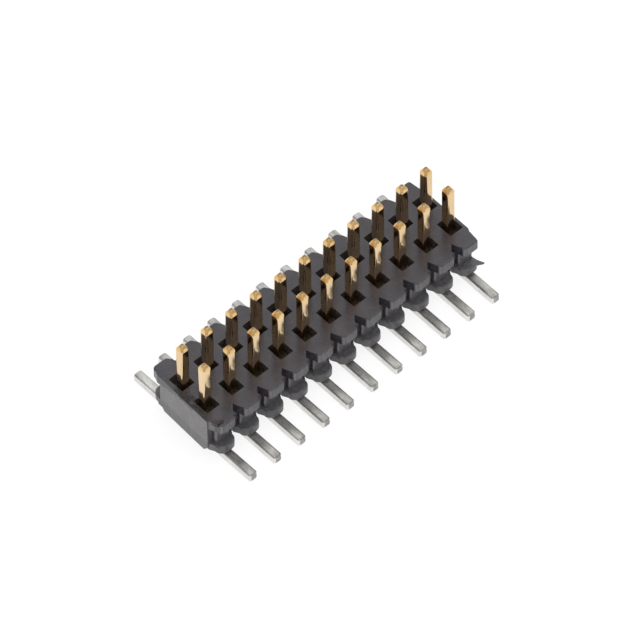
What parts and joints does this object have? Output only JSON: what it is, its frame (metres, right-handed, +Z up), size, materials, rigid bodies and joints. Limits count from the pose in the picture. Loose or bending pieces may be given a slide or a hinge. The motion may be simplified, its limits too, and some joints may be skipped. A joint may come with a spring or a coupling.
{
  "type": "pin header strip",
  "caption": "Surface-mount pin header strip: gold-plated square posts in a black moulding with scalloped sides, and straight tinned tails turned out along both long sides.",
  "frame": {"origin": "middle of the strip, in the plane that the undersides of the tails stand on", "axes": "+X along the strip, +Y from the front row of posts to the back row, +Z up along the posts"},
  "size_m": [0.014, 0.0068, 0.0047],
  "materials": {
    "moulding": "satin",
    "contact": "polished"
  },
  "bodies": {
    "root": {"moulding": "moulding", "contact_front_01": "contact", "contact_front_02": "contact", "contact_front_03": "contact", "contact_front_04": "contact", "contact_front_05": "contact", "contact_front_06": "contact", "contact_front_07": "contact", "contact_front_08": "contact", "contact_front_09": "contact", "contact_front_10": "contact", "contact_front_11": "contact", "contact_back_01": "contact", "contact_back_02": "contact", "contact_back_03": "contact", "contact_back_04": "contact", "contact_back_05": "contact", "contact_back_06": "contact", "contact_back_07": "contact", "contact_back_08": "contact", "contact_back_09": "contact", "contact_back_10": "contact", "contact_back_11": "contact"}
  },
  "joints": []
}
